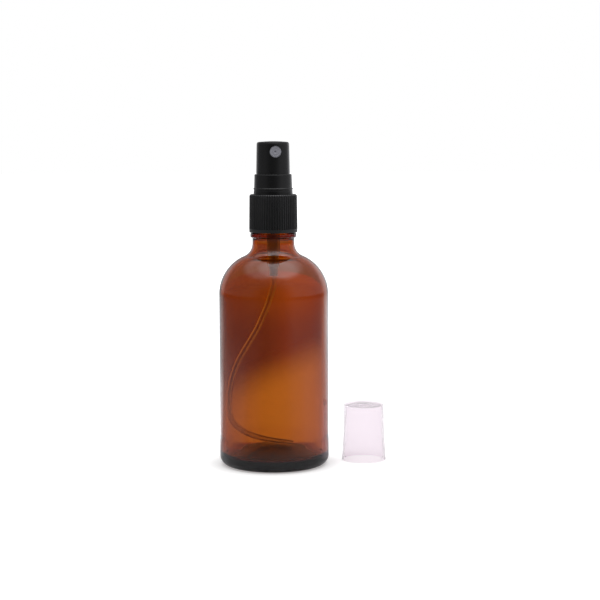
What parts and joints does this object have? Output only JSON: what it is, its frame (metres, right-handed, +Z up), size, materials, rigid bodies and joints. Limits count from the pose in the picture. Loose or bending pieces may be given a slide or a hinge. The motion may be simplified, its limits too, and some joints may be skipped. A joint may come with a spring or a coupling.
{
  "type": "spray bottle",
  "caption": "Amber glass spray bottle with a round shoulder, black ribbed screw closure, press-down mist pump, bowed dip tube and a clear overcap standing beside it.",
  "frame": {"origin": "on the bottle's axis, in the plane of its foot", "axes": "+Z up along the bottle's axis, -Y to the front, +X to the right, where the overcap stands"},
  "size_m": [0.0729, 0.0474, 0.1404],
  "materials": {
    "amber_glass": "polished blown glass",
    "black_plastic": "satin moulded",
    "button_plastic": "satin moulded",
    "nozzle_plastic": "satin moulded",
    "clear_plastic": "clear moulded",
    "gasket_foam": "fine foam",
    "natural_plastic": "natural translucent",
    "stem_plastic": "smooth moulded",
    "spring_steel": "drawn stainless",
    "tube_plastic": "natural translucent"
  },
  "bodies": {
    "bottle": {"bottle": "amber_glass"},
    "pump": {"pump_housing": "natural_plastic", "lock_ring": "natural_plastic", "neck_gasket": "gasket_foam", "dip_tube": "tube_plastic", "return_spring": "spring_steel"},
    "closure": {"closure": "black_plastic"},
    "stem": {"stem": "stem_plastic", "valve_rod": "stem_plastic", "precompression_spring": "spring_steel"},
    "piston": {"piston": "stem_plastic"},
    "actuator": {"actuator": "button_plastic", "nozzle_insert": "nozzle_plastic"},
    "check_ball": {"check_ball": "spring_steel"},
    "overcap": {"overcap": "clear_plastic"}
  },
  "joints": [
    {"name": "pump_lift", "type": "slide", "parent": "bottle", "child": "pump", "axis": [0, 0, 1], "range_m": [0, 0.00451]},
    {"name": "closure_turn", "type": "hinge", "parent": "pump", "child": "closure", "pos_m": [0, 0, 0.11], "axis": [0, 0, 1], "range_deg": [0, 540]},
    {"name": "press", "type": "slide", "parent": "pump", "child": "stem", "axis": [0, 0, -1], "range_m": [0, 0.004], "stiffness_N_per_m": 800, "springref_m": -0.005, "deforming": ["return_spring"]},
    {"name": "piston_slide", "type": "slide", "parent": "stem", "child": "piston", "axis": [0, 0, 1], "range_m": [0, 0.0006], "stiffness_N_per_m": 20, "springref_m": -0.001, "deforming": ["precompression_spring"]},
    {"name": "swivel", "type": "hinge", "parent": "stem", "child": "actuator", "pos_m": [0, 0, 0.13], "axis": [0, 0, 1], "continuous": true},
    {"name": "ball_lift", "type": "slide", "parent": "pump", "child": "check_ball", "axis": [0, 0, 1], "range_m": [0, 0.0009]},
    {"name": "overcap_lift", "type": "slide", "parent": "bottle", "child": "overcap", "axis": [0, 0, 1], "range_m": [0, 0.15]}
  ],
  "couplings": [
    {"joint": "pump_lift", "follows": "closure_turn", "m_per_rad": 0.00047746}
  ]
}
